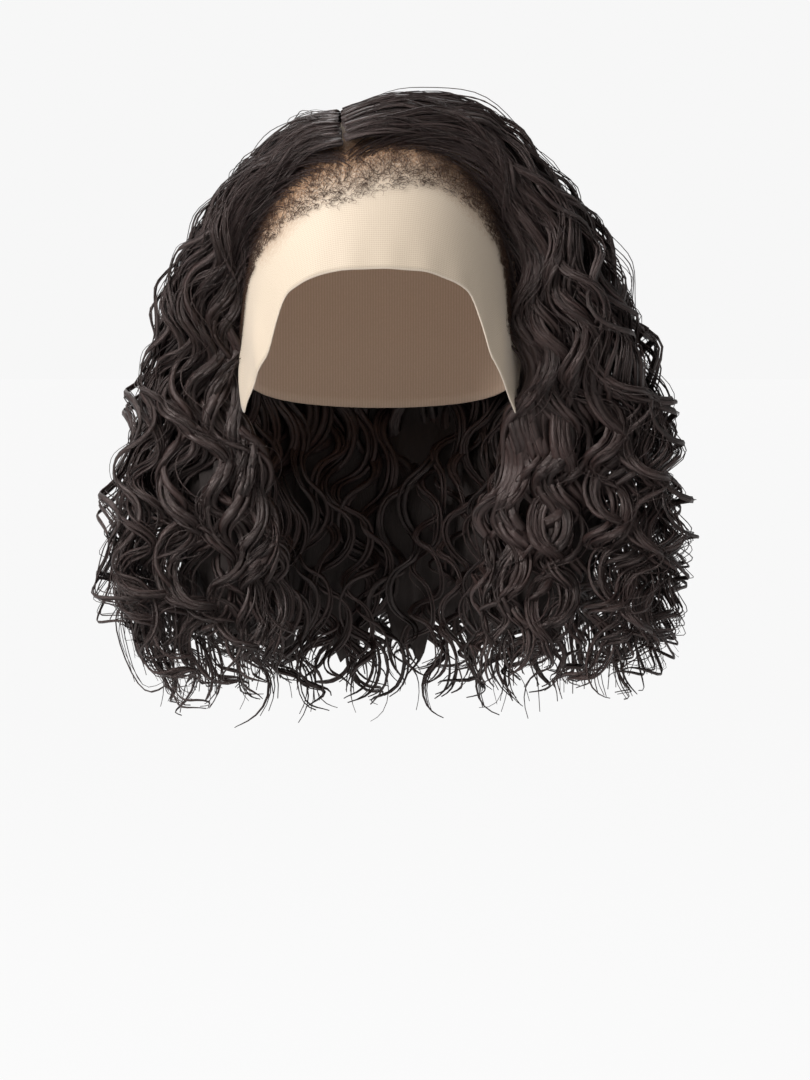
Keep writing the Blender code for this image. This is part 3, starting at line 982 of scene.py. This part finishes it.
@dataclass
class Hairline:
    """The short hair along the front of the lace: roots that rise into the locks, baby hair and knots."""

    form: HairForm
    finish: bpy.types.Material
    fine: bpy.types.Material
    rng: np.random.Generator
    band: float = 0.036
    baby_hairs: int = 3700
    root_hairs: int = 300
    knots: int = 900

    def edge(self, side: np.ndarray, row: np.ndarray) -> tuple:
        """Finds the hair's front edge on the lace.

        Args:
            side: 0 on the right and 1 on the left of the parting.
            row: Rows down from the parting.

        Returns:
            The points of the edge and the directions towards the face.
        """
        point = self.form.point(side, 0.0, row)
        inside = self.form.point(np.where(side < 0.5, 0.02, 0.98), 0.0, row)
        return point, unit(point - inside)

    def on_lace(self, point: np.ndarray, lift: np.ndarray) -> np.ndarray:
        """Returns the points brought down to a skin that lies `lift` outside the head."""
        head = self.form.head
        return head.skin(unit(point - head.centre), lift)

    def scattered(self, count: int, power: float) -> tuple:
        """Scatters roots in the band before the hair's front edge.

        Args:
            count: How many.
            power: How strongly they crowd towards the edge.

        Returns:
            The roots, the way to the face, the way along the edge, and the distance from the edge as a share.
        """
        side = (self.rng.random(count) < 0.42).astype(float)
        row = self.rng.uniform(0.0, 1.0, count) ** 0.9 * 8.4
        out = self.rng.random(count) ** power
        point, ahead = self.edge(side, row)
        nearby, _ = self.edge(side, row + 0.05)
        narrow = 1 - 0.72 * ease((row - 1.0) / 6.5)
        root = point + ahead * (out * self.band * narrow)[:, None]
        return root, ahead, unit(nearby - point), out

    def build_baby_hair(self) -> bpy.types.Object:
        """Makes short fine hairs that criss-cross, and thin out into small curls."""
        steps, count, rng = 5, self.baby_hairs, self.rng
        root, ahead, along, out = self.scattered(count, 1.3)
        way = np.linspace(0, 1, steps)[None]
        fringe = ease((out - 0.62) / 0.3)[:, None]
        lean = rng.choice([-1.0, 1.0], (count, 1)) * rng.normal(0.6, 0.3, (count, 1))
        bend = rng.normal(0, 0.6, (count, 1)) * (1 - fringe)
        bend = bend + rng.choice([-1.0, 1.0], (count, 1)) * rng.uniform(2.4, 5.0, (count, 1)) * fringe
        length = rng.uniform(0.007, 0.013, (count, 1))
        angle = lean + bend * way
        step = -ahead[:, None] * np.cos(angle)[..., None] + along[:, None] * np.sin(angle)[..., None]
        travelled = np.cumsum(step * (length / steps)[..., None], axis=1)
        middle = self.on_lace(root[:, None] + travelled, 0.0016 + 0.0012 * way)
        return self.hairs("baby_hair", middle, 0.00015, self.fine)

    def build_roots(self) -> bpy.types.Object:
        """Makes the hairs that rise from the hairline and run into the front locks."""
        steps, count, form = 20, self.root_hairs, self.form
        side = (self.rng.random(count) < 0.45).astype(float)
        row = self.rng.uniform(0.0, 1.0, count) ** 1.5 * 8.6
        point, ahead = self.edge(side, row)
        root = point + ahead * (self.rng.random(count) ** 1.5 * 0.010)[:, None]
        way = np.linspace(0, 1, steps)[None]
        share = self.rng.uniform(0.004, 0.075, count)
        share = np.where(side < 0.5, share, 1 - share)[:, None]
        reach = self.rng.uniform(3.0, 6.5, count)[:, None]
        path = form.point(share, 0.25 + 0.60 * ease(way * 1.6), row[:, None] + reach * way)
        blend = ease(way / 0.55)[..., None]
        start = self.on_lace(root, np.full(count, 0.0014))[:, None]
        lifted = start + (path - start) * blend
        wave = np.sin(way * 9 + self.rng.uniform(0, 6, (count, 1))) * 0.0018 * way
        return self.hairs("root_hair", lifted + ahead[:, None] * wave[..., None], 0.00032, self.finish)

    def hairs(
        self, name: str, middle: np.ndarray, thin: float, finish: bpy.types.Material
    ) -> bpy.types.Object:
        """Makes thin hairs along paths.

        Args:
            name: The piece's name.
            middle: The paths.
            thin: Half of a hair's thickness.
            finish: Its material.

        Returns:
            The piece.
        """
        count, steps = middle.shape[:2]
        tangent = unit(np.gradient(middle, axis=1))
        outwards = unit(middle - self.form.head.centre)
        sideways = unit(np.cross(outwards, tangent))
        outwards = unit(np.cross(tangent, sideways))
        taper = thin * (1 - 0.6 * np.linspace(0, 1, steps)[None]) * self.rng.uniform(0.7, 1.3, (count, 1))
        along = np.broadcast_to(np.linspace(0, 1, steps)[None], (count, steps))
        tufts = Tufts(middle, sideways, outwards, taper, taper, along, np.arange(count))
        points, quads, caps, corners = tufts.swept(ring_profile(3))
        return placed(mesh_of(name, points, [quads, caps], corners), finish, "hair")

    def build_knots(self) -> bpy.types.Object:
        """Makes the tiny knots that tie the short hairs to the lace."""
        root, ahead, along, _ = self.scattered(self.knots, 1.15)
        middle = self.on_lace(root, np.full(self.knots, 0.0011))
        size = self.rng.uniform(0.00016, 0.00030, (self.knots, 1))
        outwards = unit(middle - self.form.head.centre)
        ways = [ahead, along, -ahead, -along, outwards, -outwards]
        points = np.stack([middle + way * size for way in ways], axis=1).reshape(-1, 3)
        upper = [[0, 1, 4], [1, 2, 4], [2, 3, 4], [3, 0, 4]]
        lower = [[1, 0, 5], [2, 1, 5], [3, 2, 5], [0, 3, 5]]
        eight = np.array(upper + lower)
        faces = (eight[None] + 6 * np.arange(self.knots)[:, None, None]).reshape(-1, 3)
        corners = np.repeat(np.repeat(np.arange(self.knots), 24)[:, None] + 0.5, 2, axis=1)
        piece = placed(mesh_of("hair_knots", points, [faces], corners), self.fine, "hair")
        face_outwards(piece)
        return piece


def select_only(piece: bpy.types.Object) -> None:
    """Selects one object and nothing else."""
    bpy.ops.object.select_all(action="DESELECT")
    piece.select_set(True)
    bpy.context.view_layer.objects.active = piece


def face_outwards(piece: bpy.types.Object) -> None:
    """Turns a piece's faces outwards."""
    select_only(piece)
    bpy.ops.object.mode_set(mode="EDIT")
    bpy.ops.mesh.select_all(action="SELECT")
    bpy.ops.mesh.normals_make_consistent(inside=False)
    bpy.ops.object.mode_set(mode="OBJECT")


def apply_wall(piece: bpy.types.Object, wall: float) -> None:
    """Gives a sheet its wall outwards and applies it.

    Args:
        piece: The sheet, with its faces pointing outwards.
        wall: The wall's thickness.
    """
    select_only(piece)
    solid = piece.modifiers.new("wall", "SOLIDIFY")
    solid.thickness = wall
    solid.offset = 1
    bpy.ops.object.modifier_apply(modifier=solid.name)
    bpy.ops.object.shade_smooth()


def sheet_area(piece: bpy.types.Object) -> float:
    """Returns the area of one side of a sheet that has a wall."""
    return sum(face.area for face in piece.data.polygons) / 2


@dataclass
class LaceFront:
    """The sheer lace over the forehead, from the seam behind the hairline to its cut edge and ear tabs."""

    form: HairForm
    finish: bpy.types.Material
    forehead_drop: float = 0.083
    tab_drop: float = 0.163
    half_angle: float = math.radians(84)
    seam_lean: float = math.radians(9)
    wall: float = 0.0006
    columns: int = 130
    rows: int = 40
    fold: float = 0.0026
    rooted_width: float = 0.040
    corner: float = 0.050

    def edge_drop(self, side: np.ndarray) -> np.ndarray:
        """Finds the cut edge's height.

        Args:
            side: 0 at the middle of the forehead to 1 at the ear.

        Returns:
            How far below the crown the edge is, with the table's corners rounded as far as the ear tab.
        """
        round_off = self.corner * (1 - 0.75 * ease((side - 0.50) / 0.12))
        near = [np.abs(side + round_off * step) for step in np.linspace(-1, 1, 9)]
        share = np.mean([read(LACE_EDGE, "side", "drop", place) for place in near], axis=0)
        return self.forehead_drop + (self.tab_drop - self.forehead_drop) * share

    def point(self, across: np.ndarray, down: np.ndarray) -> np.ndarray:
        """Places points of the lace.

        Args:
            across: -1 at the left ear to 1 at the right.
            down: 0 at the seam to 1 at the cut edge.

        Returns:
            The points, with the tabs gathered in soft folds that stand off the head.
        """
        turn = across * self.half_angle
        side = np.abs(across)
        drop = self.edge_drop(side)
        edge = np.arctan2(self.form.head.girth(turn), self.form.head.rise - drop)
        seam = np.arctan2(math.tan(self.seam_lean), np.cos(turn))
        lean = seam + (edge - seam) * down
        tab = ease((side - 0.50) / 0.12) * ease((down - 0.62) / 0.3)
        crease = np.sin((side * 3.1 + down * 1.7) * 2 * math.pi)
        off = 0.0002 + self.fold * tab * (0.55 + 0.45 * crease)
        ripple = 0.00025 * np.sin(across * 41) * ease((down - 0.8) / 0.2)
        return self.form.head.skin(aimed(turn, lean), off + ripple + 0.0003)

    def rooted(self, points: np.ndarray) -> np.ndarray:
        """Works out how thickly hair is knotted into the lace.

        Args:
            points: Points of the lace.

        Returns:
            1 under the hair's front edge, falling to 0 away from it.
        """
        row = np.linspace(0, self.form.dome_rows + 3, 90)
        edge = np.concatenate([self.form.point(side, 0.0, row) for side in (0.0, 1.0)])
        away = np.linalg.norm(points[:, None] - edge[None], axis=-1)
        fading = 1 - ease((np.tile(row, 2)[away.argmin(axis=1)] - 3.0) / 4.0)
        return np.clip(1 - away.min(axis=1) / self.rooted_width, 0, 1) * fading

    def build(self) -> bpy.types.Object:
        """Shapes a grid into the lace and dresses it."""
        bpy.ops.object.select_all(action="DESELECT")
        bpy.ops.mesh.primitive_grid_add(x_subdivisions=self.columns, y_subdivisions=self.rows, size=2)
        piece = bpy.context.object
        piece.name = "lace_sheet"
        mesh = piece.data
        flat = points_of(mesh)
        placed_at = self.point(flat[:, 0], (1 - flat[:, 1]) / 2)
        write(mesh.vertices, "co", placed_at)
        mesh.uv_layers[0].name = "cloth"
        loops = np.empty(len(mesh.loops), np.int32)
        mesh.loops.foreach_get("vertex_index", loops)
        span = np.array([0.30, 0.11])
        write(mesh.uv_layers[0].data, "uv", flat[loops, :2] / 2 * span)
        cut = self.point(flat[:, 0], np.ones(len(flat)))
        values = {"rooted": self.rooted(placed_at), "from_edge": np.linalg.norm(placed_at - cut, axis=-1)}
        for name, value in values.items():
            write(mesh.attributes.new(name, "FLOAT", "POINT").data, "value", value)
        mesh.update()
        apply_wall(piece, self.wall)
        placed(piece, self.finish, "lace", "lace_front")
        area = sheet_area(piece)
        flat = (0.30, max(0.14, area / 0.29))
        return piece


@dataclass
class WigCap:
    """The cloth cap behind the lace, an open dome with a hem."""

    head: Head
    finish: bpy.types.Material
    seam_lean: float = math.radians(8.8)
    pole_lean: float = math.radians(32)
    ear_drop: float = 0.018
    nape_drop: float = 0.040
    wall: float = 0.0012
    clear: float = 0.0001
    hem: float = 0.00018
    seam_share: float = 0.45

    def rim(self, share: np.ndarray) -> np.ndarray:
        """Finds the cap's edge.

        Args:
            share: The share of the way round the edge, from the left ear over the head.

        Returns:
            Directions from the head's centre, along the seam and then back under the ears and the nape.
        """
        across = -math.pi / 2 + math.pi * np.clip(share / self.seam_share, 0, 1)
        lean = self.seam_lean
        over = np.stack(
            [np.sin(across), -np.cos(across) * math.sin(lean), np.cos(across) * math.cos(lean)], axis=-1
        )
        back = np.clip((share - self.seam_share) / (1 - self.seam_share), 0, 1)
        turn = np.radians(93 + 174 * back)
        drop = self.ear_drop + (self.nape_drop - self.ear_drop) * np.sin(math.pi * back)
        radius = self.head.girth(turn)
        under = unit(np.stack([np.sin(turn) * radius, -np.cos(turn) * radius, -drop], axis=-1))
        return np.where((share <= self.seam_share)[..., None], over, under)

    def build(self) -> bpy.types.Object:
        """Shapes the upper half of a sphere into the cap and dresses it."""
        bpy.ops.object.select_all(action="DESELECT")
        bpy.ops.mesh.primitive_uv_sphere_add(segments=120, ring_count=48, radius=1)
        piece = bpy.context.object
        piece.name = "cap_shell"
        bpy.ops.object.mode_set(mode="EDIT")
        bpy.ops.mesh.select_all(action="SELECT")
        bpy.ops.mesh.bisect(plane_co=(0, 0, 0.0005), plane_no=(0, 0, -1), clear_outer=True)
        bpy.ops.object.mode_set(mode="OBJECT")
        mesh = piece.data
        ball = points_of(mesh)
        out = np.clip(np.arccos(np.clip(ball[:, 2], -1, 1)) / (math.pi / 2), 0, 1)
        round_share = np.mod(np.arctan2(ball[:, 1], ball[:, 0]) / (2 * math.pi), 1)
        edge = self.rim(round_share)
        pole = np.array([0, math.sin(self.pole_lean), math.cos(self.pole_lean)])
        angle = np.arccos(np.clip(edge @ pole, -1, 1))
        first = np.sin((1 - out) * angle) / np.sin(angle)
        second = np.sin(out * angle) / np.sin(angle)
        direction = unit(pole * first[:, None] + edge * second[:, None])
        hem = self.hem * ease((out - 0.955) / 0.02)
        write(mesh.vertices, "co", self.head.skin(direction, self.clear + hem))
        mesh.update()
        face_outwards(piece)
        apply_wall(piece, self.wall)
        placed(piece, self.finish, "cap_cloth", "wig_cap")
        return piece


Lamp = namedtuple("Lamp", "name place side watts")
LAMPS = (
    Lamp("key_light", (-1.7, -1.4, 0.8), 1.1, 92),
    Lamp("fill_light", (1.1, -1.9, 0.3), 1.4, 2.5),
    Lamp("rim_light", (-0.4, 1.6, 1.3), 1.2, 16),
    Lamp("top_light", (-0.45, -0.3, 1.6), 1.2, 24),
)


@dataclass
class Studio:
    """The plain pale floor, the soft lights and the camera at the photograph's angle."""

    distance: float = 1.70
    eye_height: float = -0.108
    aim: tuple = (0.01425, 0.0, -0.2366)
    frame_height: float = 0.6156
    floor_height: float = -0.80
    pale: tuple = (0.01, 0.01, 0.01)
    floor_glow: float = 0.915
    lit_at: tuple = (0.0, 0.0, -0.14)
    room_light: float = 0.27
    backdrop: float = 0.93
    film: float = 36.0

    def build_floor(self) -> None:
        """Lays the floor, which isn't part of the object."""
        bpy.ops.mesh.primitive_plane_add(size=60, location=(0, 0, self.floor_height))
        floor = bpy.context.object
        floor.name = "floor"
        nodes = Nodes("pale_floor")
        nodes.set_shader(Base_Color=(*self.pale, 1), Roughness=0.9)
        nodes.set_shader(Emission_Color=(1, 1, 1, 1), Emission_Strength=self.floor_glow)
        floor.data.materials.append(nodes.material)

    def build_light(self, lamp: Lamp) -> None:
        """Hangs one soft square light that points at the wig."""
        light = bpy.data.lights.new(lamp.name, "AREA")
        light.size = lamp.side
        light.energy = lamp.watts
        holder = bpy.data.objects.new(lamp.name, light)
        holder.location = lamp.place
        aim = np.array(self.lit_at) - np.array(lamp.place)
        tip = math.atan2(math.hypot(aim[0], aim[1]), -aim[2])
        holder.rotation_euler = (tip, 0, math.atan2(aim[1], aim[0]) - math.pi / 2)
        bpy.context.scene.collection.objects.link(holder)

    def build_world(self) -> None:
        """Fills the room with even pale light, before a backdrop that only the camera sees."""
        world = bpy.data.worlds.new("pale_room")
        world.use_nodes = True
        tree = world.node_tree
        back = tree.nodes["Background"]
        seen = tree.nodes.new("ShaderNodeBackground")
        for shader, strength in ((back, self.room_light), (seen, self.backdrop)):
            shader.inputs["Color"].default_value = (1, 1, 1, 1)
            shader.inputs["Strength"].default_value = strength
        mix = tree.nodes.new("ShaderNodeMixShader")
        by_camera = tree.nodes.new("ShaderNodeLightPath").outputs["Is Camera Ray"]
        for place, source in enumerate((by_camera, back.outputs[0], seen.outputs[0])):
            tree.links.new(source, mix.inputs[place])
        tree.links.new(mix.outputs[0], tree.nodes["World Output"].inputs["Surface"])
        bpy.context.scene.world = world

    def build_camera(self) -> None:
        """Sets the camera level with the middle of the wig and straight before it."""
        camera = bpy.data.cameras.new("camera")
        eye = np.array([self.aim[0], -self.distance, self.eye_height])
        away = np.array(self.aim) - eye
        camera.lens = self.film * float(np.linalg.norm(away)) / self.frame_height
        holder = bpy.data.objects.new("camera", camera)
        holder.location = eye
        holder.rotation_euler = (math.pi / 2 + math.atan2(away[2], away[1]), 0, 0)
        bpy.context.scene.collection.objects.link(holder)
        bpy.context.scene.camera = holder

    def build(self) -> None:
        """Builds the floor, the lights and the camera."""
        self.build_floor()
        for lamp in LAMPS:
            self.build_light(lamp)
        self.build_world()
        self.build_camera()
        bpy.context.scene.view_settings.view_transform = "Standard"


def main() -> None:
    """Builds every piece round the frame and logs it."""
    logging.basicConfig(level=logging.INFO, format="%(name)s %(message)s")
    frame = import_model()
    LOG.info("frame: %d nodes", len(frame["nodes"]))
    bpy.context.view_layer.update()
    rng = np.random.default_rng(SEED)
    head, form = Head(), HairForm()
    hair = HairFinish("dark_hair").build()
    # hair_in_shade is a darker, rougher copy of the hair finish: painted shade on the mass beneath the locks.
    shade = HairFinish("hair_in_shade", light=(0.012, 0.008, 0.007), roughness=0.6).build()
    WigCap(head, ClothFinish().build()).build()
    LaceFront(form, LaceFinish().build()).build()
    for stretch in STRETCHES:
        Curls(form, stretch, hair, shade, rng).build()
    fine = HairFinish("fine_hair", deep=(0.010, 0.005, 0.003), light=(0.095, 0.043, 0.022)).build()
    hairline = Hairline(form, hair, fine, rng)
    hairline.build_baby_hair()
    hairline.build_roots()
    hairline.build_knots()
    Studio().build()


if __name__ == "__main__":
    main()
